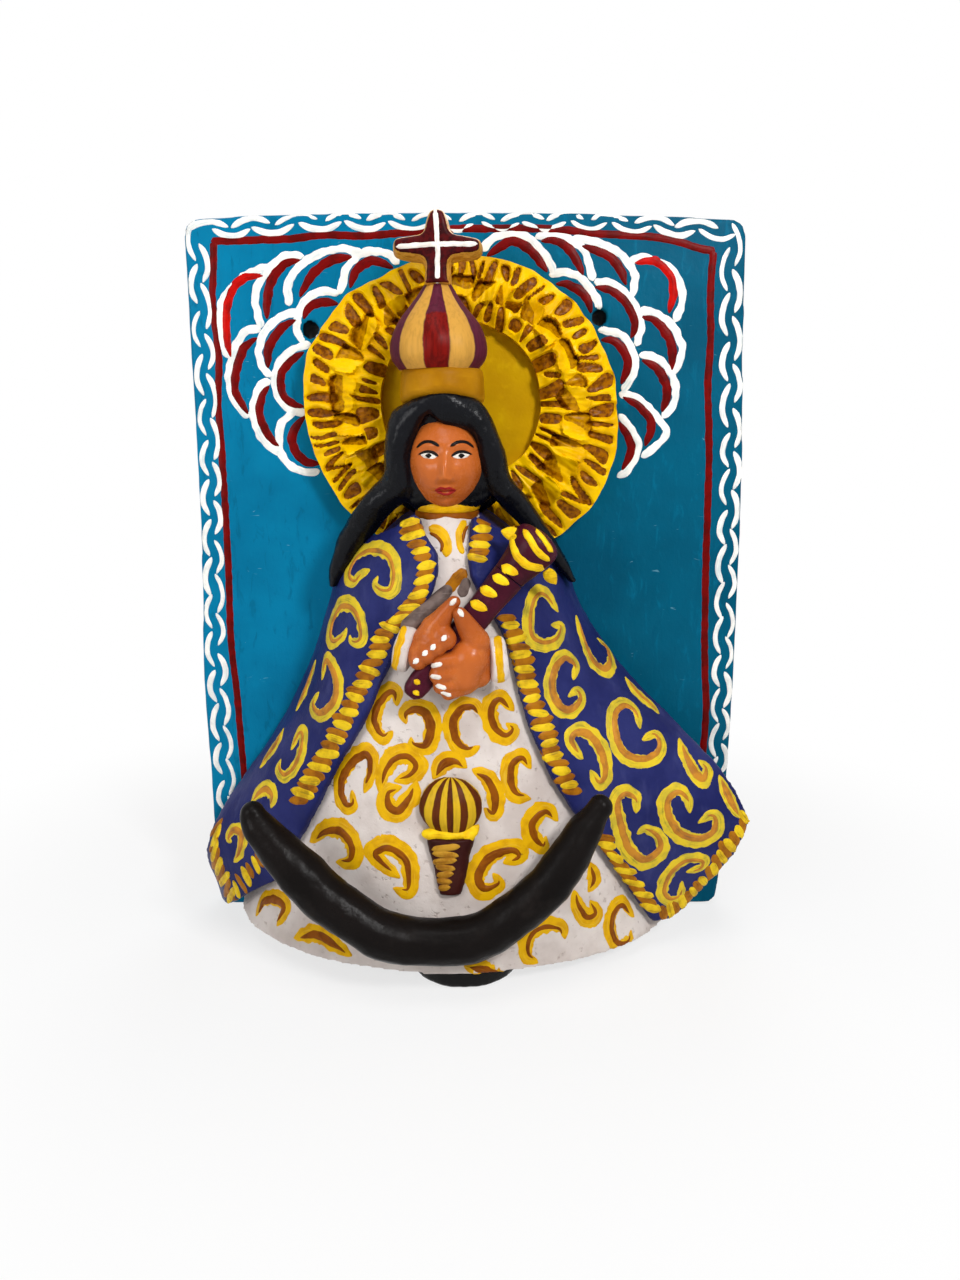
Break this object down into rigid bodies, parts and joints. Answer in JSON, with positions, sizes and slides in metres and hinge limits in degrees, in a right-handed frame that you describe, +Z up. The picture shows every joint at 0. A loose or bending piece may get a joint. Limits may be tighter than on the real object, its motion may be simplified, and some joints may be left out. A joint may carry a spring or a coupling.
{
  "type": "ceramic retablo",
  "caption": "Painted clay wall plaque with a crowned, haloed figure in high relief, holding a staff above a crescent; hangs by holes or stands on its foot.",
  "frame": {"origin": "middle of the plaque's flat back", "axes": "+Y out of the back towards the wall, +Z up, +X to the viewer's right, so the front faces -Y"},
  "size_m": [0.2107, 0.0898, 0.27],
  "materials": {
    "plaque_blue": "painted fired clay, satin varnish",
    "halo_yellow": "painted fired clay, satin varnish",
    "glossy_black": "painted fired clay, gloss varnish",
    "satin_charcoal": "painted fired clay, satin varnish",
    "dress_white": "painted fired clay, low sheen",
    "cloak_navy": "painted fired clay, satin varnish",
    "skin_brown": "painted fired clay, satin varnish",
    "hair_black": "painted fired clay, satin varnish",
    "crown_gold": "painted fired clay, satin varnish",
    "maroon": "painted fired clay, satin varnish"
  },
  "bodies": {
    "root": {"back_plaque": "plaque_blue", "halo_disc": "halo_yellow", "halo_ray_ring": "halo_yellow", "foot": "glossy_black", "dress": "dress_white", "cloak_left": "cloak_navy", "cloak_right": "cloak_navy", "head": "skin_brown", "hair_cap": "hair_black", "hair_lock_left": "hair_black", "hair_lock_right": "hair_black", "crown_band": "crown_gold", "crown_bulb": "maroon", "crown_cross": "maroon", "cuff_left": "dress_white", "cuff_right": "dress_white", "hand_left": "skin_brown", "hand_right": "skin_brown", "staff": "maroon", "staff_head": "halo_yellow", "pendant_bulb": "crown_gold", "pendant_drop": "crown_gold", "crescent": "satin_charcoal"}
  },
  "joints": []
}
